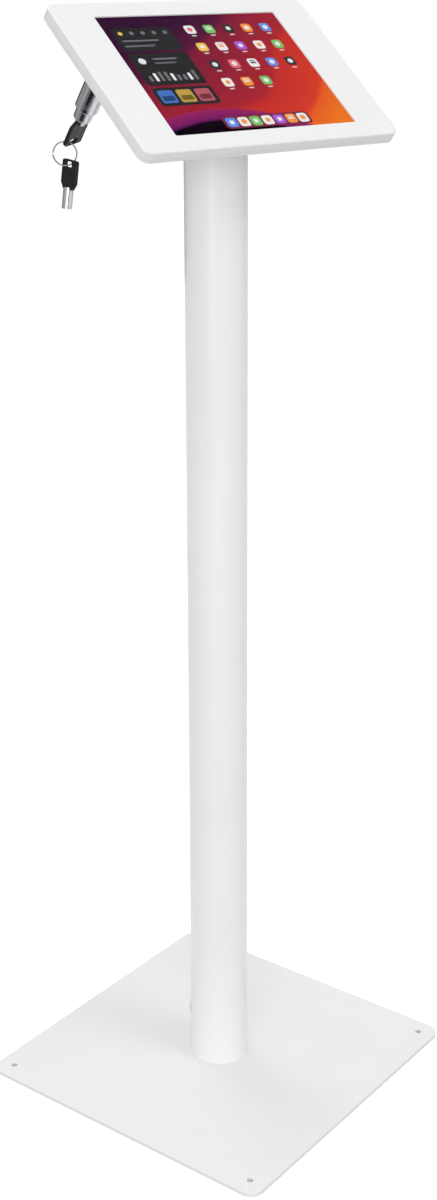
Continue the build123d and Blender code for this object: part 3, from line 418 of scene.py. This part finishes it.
def lay(u, v, width, height, corner, color, layer=1):
    """Lay a patch of light on the picture. u runs right and v down, in shares of the picture,
    and width, height and corner are shares of its height. A patch on another is a layer up."""
    middle = ((u - 0.5) * PICTURE_WIDTH, (0.5 - v) * PICTURE_HEIGHT)
    thick = INK_LIFT * layer
    lift = panel_thickness / 2 + thick / 2
    size = (width * PICTURE_HEIGHT, height * PICTURE_HEIGHT, thick)
    for face in add_slab(display, (*middle, lift), size, corner * PICTURE_HEIGHT):
        face.material_index = 1
        for loop in face.loops:
            loop[ink] = (*color, 1.0)


# Three dark panels down the left: a row of dots over two lines, a disc beside two lines with
# a run of bars below, and three coloured cards.
PANEL_GREY = (0.022, 0.021, 0.024)
PALE = (0.78, 0.78, 0.80)
DIM = (0.16, 0.16, 0.17)
TILE_GREEN = (0.16, 0.55, 0.13)
TILE_WHITE = (0.82, 0.80, 0.80)
TILE_ORANGE = (0.86, 0.30, 0.05)
TILE_DARK = (0.03, 0.03, 0.034)
TILE_BLUE = (0.10, 0.27, 0.80)
TILE_VIOLET = (0.40, 0.10, 0.66)
TILE_ROSE = (0.75, 0.16, 0.22)
TILE_AMBER = (0.83, 0.55, 0.10)
PANEL_ROWS = ((0.09, 0.20), (0.31, 0.27), (0.60, 0.15))     # top and height of each
GAUGE_START = 0.085         # u of the first dot and of the first bar
DOT_SIZE = 0.030
PANEL_MARKS = (             # the lines and the disc: u, v, width, height, corner and colour
    (0.165, 0.20, 0.26, 0.012, 0.004, DIM),
    (0.145, 0.245, 0.21, 0.012, 0.004, DIM),
    (0.100, 0.375, 0.050, 0.050, 0.0249, PALE),
    (0.225, 0.360, 0.17, 0.014, 0.004, DIM),
    (0.215, 0.395, 0.15, 0.010, 0.003, DIM),
)
BARS_FOOT = 0.545
for top, height in PANEL_ROWS:
    lay(0.205, top + height / 2, 0.42, height, 0.022, PANEL_GREY)
for dot in range(5):
    shade = DIM if dot else TILE_AMBER
    lay(GAUGE_START + 0.06 * dot, 0.135, DOT_SIZE, DOT_SIZE, 0.0149, shade, layer=2)
for mark in PANEL_MARKS:
    lay(*mark, layer=2)
for bar in range(9):
    tall = 0.045 + 0.025 * math.sin(0.8 * bar) + 0.004 * bar
    shade = PALE if bar % 3 == 1 else DIM
    lay(GAUGE_START + 0.030 * bar, BARS_FOOT - tall / 2, 0.020, tall, 0.004, shade, layer=2)
for card, color in enumerate((TILE_BLUE, TILE_AMBER, TILE_ROSE)):
    dull = tuple(0.6 * share for share in color)
    deep = tuple(0.35 * share for share in dull)
    lay(0.105 + 0.098 * card, 0.675, 0.108, 0.105, 0.014, dull, layer=2)
    lay(0.105 + 0.098 * card, 0.690, 0.080, 0.040, 0.010, deep, layer=3)

# Tiles: four rows of five, the last one of three, and a row of seven along the foot. Each has
# one plain mark on it, a disc, two bars or a square.
TILE_CORNER = 0.24          # share of the tile's size
TILE_MARKS = (              # shift down, width, height and corner, in shares of the tile
    ((0.0, 0.52, 0.52, 0.259),),
    ((0.0, 0.58, 0.16, 0.05), (-0.24, 0.58, 0.10, 0.04)),
    ((0.0, 0.40, 0.40, 0.06),),
)
PALE_SUM = 1.6              # a tile whose colour adds up to more has a coloured mark
FIELD_ROW = 5
FIELD_STEP = (0.108, 0.155)
FIELD_TILES = (
    TILE_WHITE, TILE_GREEN, TILE_DARK, TILE_ORANGE, TILE_BLUE,
    TILE_AMBER, TILE_WHITE, TILE_VIOLET, TILE_WHITE, TILE_GREEN,
    TILE_DARK, TILE_ROSE, TILE_WHITE, TILE_BLUE, TILE_DARK,
    TILE_WHITE, TILE_ORANGE, TILE_GREEN,
)
FOOT_V = 0.915
FOOT_RED = (0.20, 0.022, 0.055)
FOOT_TILES = (
    TILE_BLUE, TILE_WHITE, TILE_GREEN, TILE_WHITE, TILE_VIOLET, TILE_ORANGE, TILE_WHITE,
)
mark_draw = random.Random(7)


def lay_tile(u, v, size, color, layer):
    """A rounded tile with its mark, both drawn in the order of the tiles."""
    lay(u, v, size, size, size * TILE_CORNER, color, layer)
    ink_color = PALE
    if sum(color) > PALE_SUM:
        ink_color = mark_draw.choice((TILE_ORANGE, TILE_BLUE, TILE_ROSE, TILE_DARK))
    for down, width, height, corner in TILE_MARKS[mark_draw.randrange(3)]:
        lay(
            u, v + down * size, size * width, size * height, size * corner,
            ink_color, layer + 1,
        )


for index, color in enumerate(FIELD_TILES):
    row, column = divmod(index, FIELD_ROW)
    u = 0.47 + FIELD_STEP[0] * column
    lay_tile(u, 0.12 + FIELD_STEP[1] * row, 0.072, color, layer=1)
    lay(u, 0.175 + FIELD_STEP[1] * row, 0.036, 0.007, 0.003, PALE)
lay(0.538, FOOT_V, 0.64, 0.100, 0.026, FOOT_RED)
for column, color in enumerate(FOOT_TILES):
    lay_tile(0.34 + 0.066 * column, FOOT_V, 0.074, color, layer=2)
lit_display = finish_mesh(display, "lit_display", head_place)
lit_display.data.materials.append(wallpaper_finish())
lit_display.data.materials.append(ink_finish())
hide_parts("tablet_display")
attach(lit_display, "head")


# Cover glass: a plain sheet with an anti-glare coat, so it mirrors very little. The low index
# stands for that coat, since bare glass has 1.5.
GLASS_INDEX = 1.05
cover_glass, shader = new_finish("cover_glass", (1.0, 1.0, 1.0), 0.03)
shader.inputs["Transmission Weight"].default_value = 1.0
shader.inputs["IOR"].default_value = GLASS_INDEX
dress(cover_glass, "tablet_glass")


# Lock: a turned brass barrel, chromed and polished, that stands off the casing's back. Its
# plug and nut are nickel-plated brass, and the cam and its screw are zinc-plated steel.
CHROME = (0.50, 0.51, 0.53)
NICKEL = (0.50, 0.49, 0.46)
POLISH_CELLS = 500.0
POLISH_DEPTH = 0.000003
HAZE_CELLS = 160.0


def bright_plate(name, color, roughness):
    """Plated and polished metal with faint turning marks and handling haze."""
    material, shader = new_finish(name, color, roughness, metallic=1.0)
    turning = object_noise(material, POLISH_CELLS)
    haze = object_noise(material, HAZE_CELLS)
    raise_bumps(material, shader, turning, POLISH_DEPTH, strength=0.12)
    vary(material, shader, "Roughness", haze, roughness * 0.7, roughness * 1.4)
    return material


dress(bright_plate("lock_chrome", CHROME, 0.2), "lock_housing")
dress(bright_plate("plug_nickel", NICKEL, 0.22), "lock_plug", "lock_nut", "lock_pins")
dress(zinc, "lock_cam", "cam_screw")


# Keys: chromed tubular barrels in bows of black moulded plastic with a fine spark grain, in
# places rubbed a little smoother by handling.
KEY_BLACK = (0.008, 0.008, 0.009)
BOW_MIRROR = 0.2
BOW_CELLS = 2400.0
BOW_GRAIN = 0.00003
BOW_RUBS = 300.0
bow_plastic, shader = new_finish("bow_plastic", KEY_BLACK, 0.32)
shader.inputs["Specular IOR Level"].default_value = BOW_MIRROR
raise_bumps(bow_plastic, shader, object_noise(bow_plastic, BOW_CELLS), BOW_GRAIN, strength=0.7)
vary(bow_plastic, shader, "Roughness", object_noise(bow_plastic, BOW_RUBS), 0.26, 0.4)
dress(bow_plastic, "key_bow", "spare_bow")
dress(bright_plate("key_chrome", CHROME, 0.2), "key_barrel", "spare_barrel")


# Key ring: one turn of spring wire, nickel-plated, with its shine dulled in patches by handling.
# Its dark grey is painted shade: it is much darker than the lock's nickel, so that the thin wire
# stands out against the white.
RING_SHADED_GREY = (0.22, 0.22, 0.22)
RING_RUBS = 220.0
ring_plate, shader = new_finish("ring_nickel", RING_SHADED_GREY, 0.34, metallic=1.0)
vary(ring_plate, shader, "Roughness", object_noise(ring_plate, RING_RUBS), 0.28, 0.4)
dress(ring_plate, "key_ring")


# Camera: the photograph's own view, found from the straight edges of the stand. The long
# lens looks down by 17 degrees, and its axis meets the frame above the frame's middle.
PHOTO_SIZE = (437, 1200)
FOCAL_PIXELS = 1787.3
AXIS_PIXEL = (218.5, 500.0)
CAMERA_PLACE = (-1.3412, -1.0247, 1.1466)
CAMERA_AZIMUTH = math.radians(52.665)
CAMERA_PITCH = math.radians(17.059)
CAMERA_ROLL = math.radians(-0.207)
SENSOR = 36.0
forward = Vector((
    math.sin(CAMERA_AZIMUTH) * math.cos(CAMERA_PITCH),
    math.cos(CAMERA_AZIMUTH) * math.cos(CAMERA_PITCH),
    -math.sin(CAMERA_PITCH),
))
level_right = Vector((math.cos(CAMERA_AZIMUTH), -math.sin(CAMERA_AZIMUTH), 0.0))
level_up = level_right.cross(forward)
right = level_right * math.cos(CAMERA_ROLL) + level_up * math.sin(CAMERA_ROLL)
upward = level_up * math.cos(CAMERA_ROLL) - level_right * math.sin(CAMERA_ROLL)
lens = bpy.data.cameras.new("photo_camera")
lens.sensor_width = SENSOR
lens.lens = FOCAL_PIXELS / PHOTO_SIZE[1] * SENSOR
lens.shift_x = (PHOTO_SIZE[0] / 2 - AXIS_PIXEL[0]) / PHOTO_SIZE[1]
lens.shift_y = (AXIS_PIXEL[1] - PHOTO_SIZE[1] / 2) / PHOTO_SIZE[1]
camera = bpy.data.objects.new("photo_camera", lens)
camera.matrix_world = Matrix.Translation(CAMERA_PLACE) @ Matrix(
    (right, upward, -forward)
).transposed().to_4x4()
bpy.context.scene.collection.objects.link(camera)
bpy.context.scene.camera = camera


# Floor: a wide pale sheet. To the camera, and in metal and glass, it is a studio white that
# still takes the stand's shadow, and what it throws back on the stand is a plain grey.
FLOOR_SPAN = 30.0
FLOOR_DROP = 0.0002
FLOOR_GREY = (0.43, 0.43, 0.43, 1.0)
FLOOR_WHITE = (0.96, 0.96, 0.96, 1.0)
FLOOR_GLOW = 0.32


def seen_straight(nodes, links):
    """1 for camera, mirror and glass rays, and 0 for the light that a surface gathers."""
    path = nodes.new("ShaderNodeLightPath")
    either = nodes.new("ShaderNodeMath")
    either.operation = "MAXIMUM"
    links.new(path.outputs["Is Camera Ray"], either.inputs[0])
    links.new(path.outputs["Is Glossy Ray"], either.inputs[1])
    any_of = nodes.new("ShaderNodeMath")
    any_of.operation = "MAXIMUM"
    links.new(either.outputs["Value"], any_of.inputs[0])
    links.new(path.outputs["Is Transmission Ray"], any_of.inputs[1])
    return any_of.outputs["Value"]


floor_sheet = bmesh.new()
bmesh.ops.create_grid(floor_sheet, x_segments=1, y_segments=1, size=FLOOR_SPAN / 2)
bmesh.ops.translate(floor_sheet, vec=(0, 0, -FLOOR_DROP), verts=floor_sheet.verts)
floor = finish_mesh(floor_sheet, "studio_floor")
floor_white, shader = new_finish("studio_floor", FLOOR_GREY[:3], 0.9)
shader.inputs["Specular IOR Level"].default_value = 0.0
floor_nodes, floor_links = floor_white.node_tree.nodes, floor_white.node_tree.links
seen = seen_straight(floor_nodes, floor_links)
pick = floor_nodes.new("ShaderNodeMix")
pick.data_type = "RGBA"
pick.inputs["A"].default_value = FLOOR_GREY
pick.inputs["B"].default_value = FLOOR_WHITE
floor_links.new(seen, pick.inputs["Factor"])
floor_links.new(pick.outputs["Result"], shader.inputs["Base Color"])
glow = floor_nodes.new("ShaderNodeMath")
glow.operation = "MULTIPLY"
glow.inputs[1].default_value = FLOOR_GLOW
shader.inputs["Emission Color"].default_value = (1.0, 1.0, 1.0, 1.0)
floor_links.new(seen, glow.inputs[0])
floor_links.new(glow.outputs["Value"], shader.inputs["Emission Strength"])
floor.data.materials.append(floor_white)


# Light: an even white surround, one soft lamp high in front that lays the column's faint
# shadow across the base, a low one on the camera's side that rounds the column, and one high
# behind for the base and the casing's back.
SURROUND = 0.75             # light it gives, while to the camera and in mirrors it is 1
LAMPS = (                   # name, place, target, width and height, and watts
    ("high_box", (0.35, -3.2, 4.6), (0.0, 0.0, 0.4), (1.6, 1.6), 37.0),
    ("front_box", (-2.8, -1.6, 1.0), (0.0, 0.0, 0.7), (2.0, 2.4), 43.0),
    ("rear_box", (0.8, 2.2, 4.5), (0.0, 0.0, 0.3), (1.8, 1.8), 30.0),
)
world = bpy.data.worlds.new("surround")
world.use_nodes = True
bpy.context.scene.world = world
world_nodes, world_links = world.node_tree.nodes, world.node_tree.links
surround = world_nodes["Background"]
surround.inputs["Color"].default_value = (1.0, 1.0, 1.0, 1.0)
strength = world_nodes.new("ShaderNodeMapRange")
strength.inputs["To Min"].default_value = SURROUND
strength.inputs["To Max"].default_value = 1.0
world_links.new(seen_straight(world_nodes, world_links), strength.inputs["Value"])
world_links.new(strength.outputs["Result"], surround.inputs["Strength"])


def soft_lamp(name, place, target, size, power):
    """A large soft box that faces the stand."""
    lamp = bpy.data.lights.new(name, "AREA")
    lamp.shape = "RECTANGLE"
    lamp.size, lamp.size_y = size
    lamp.energy = power
    box = bpy.data.objects.new(name, lamp)
    aim = Vector(target) - Vector(place)
    turn = aim.to_track_quat("-Z", "Y").to_matrix().to_4x4()
    box.matrix_world = Matrix.Translation(place) @ turn
    bpy.context.scene.collection.objects.link(box)


for lamp in LAMPS:
    soft_lamp(*lamp)
bpy.context.scene.view_settings.view_transform = "Standard"


# Flags: black, grey and pale cards behind and beside the stand, which only mirror rays see,
# the coat's faint ones too. They give the chrome its bands and the wire ring an outline
# against the white. They light nothing and cast no shadow.
FLAG_BLACK = (0.012, 0.012, 0.013)
FLAG_GREY = (0.30, 0.30, 0.31)
FLAG_PALE = (0.58, 0.58, 0.58)


def flag_finish(name, color):
    """Cloth without any mirror of its own."""
    material, shader = new_finish(name, color, 1.0)
    shader.inputs["Specular IOR Level"].default_value = 0.0
    return material


flag_cloth = flag_finish("flag_cloth", FLAG_BLACK)
grey_cloth = flag_finish("grey_cloth", FLAG_GREY)
pale_cloth = flag_finish("pale_cloth", FLAG_PALE)
FLAGS = (       # name, metres behind, right of and above the lock, lean, width, height, cloth
    ("back_flag", 0.25, -0.08, -0.06, 0.0, 0.30, 0.34, flag_cloth),
    ("low_flag", -0.15, -0.14, -0.27, 42.0, 0.18, 0.24, flag_cloth),
    ("grey_flag", -0.165, -0.175, -0.29, 42.0, 0.52, 0.28, grey_cloth),
    ("side_flag", -0.74, 0.20, -0.22, 0.0, 0.26, 0.50, flag_cloth),
    ("left_flag", 0.12, -0.33, -0.02, 0.0, 0.36, 0.44, pale_cloth),
)
lock_point = Vector(joints["lock_turn"]["pos_m"])
level_forward = Vector((math.sin(CAMERA_AZIMUTH), math.cos(CAMERA_AZIMUTH), 0.0))


def hang_flag(name, behind, aside, above, lean, width, height, cloth):
    """Hang a card at a place that the camera sees so far from the lock. It faces the lock,
    with its width leaning upwards by some degrees."""
    offset = level_forward * behind + level_right * aside + Vector((0.0, 0.0, above))
    place = lock_point + offset
    normal = (lock_point - place).normalized()
    level = Vector((0.0, 0.0, 1.0)).cross(normal).normalized()
    along = Matrix.Rotation(math.radians(lean), 3, normal) @ level
    card = bmesh.new()
    bmesh.ops.create_grid(card, x_segments=1, y_segments=1, size=0.5)
    bmesh.ops.scale(card, vec=(width, height, 1.0), verts=card.verts)
    turn = Matrix((along, normal.cross(along), normal)).transposed().to_4x4()
    flag = finish_mesh(card, name, Matrix.Translation(place) @ turn)
    flag.data.materials.append(cloth)
    flag.visible_camera = False
    flag.visible_diffuse = False
    flag.visible_transmission = False
    flag.visible_shadow = False


for flag_row in FLAGS:
    hang_flag(*flag_row)
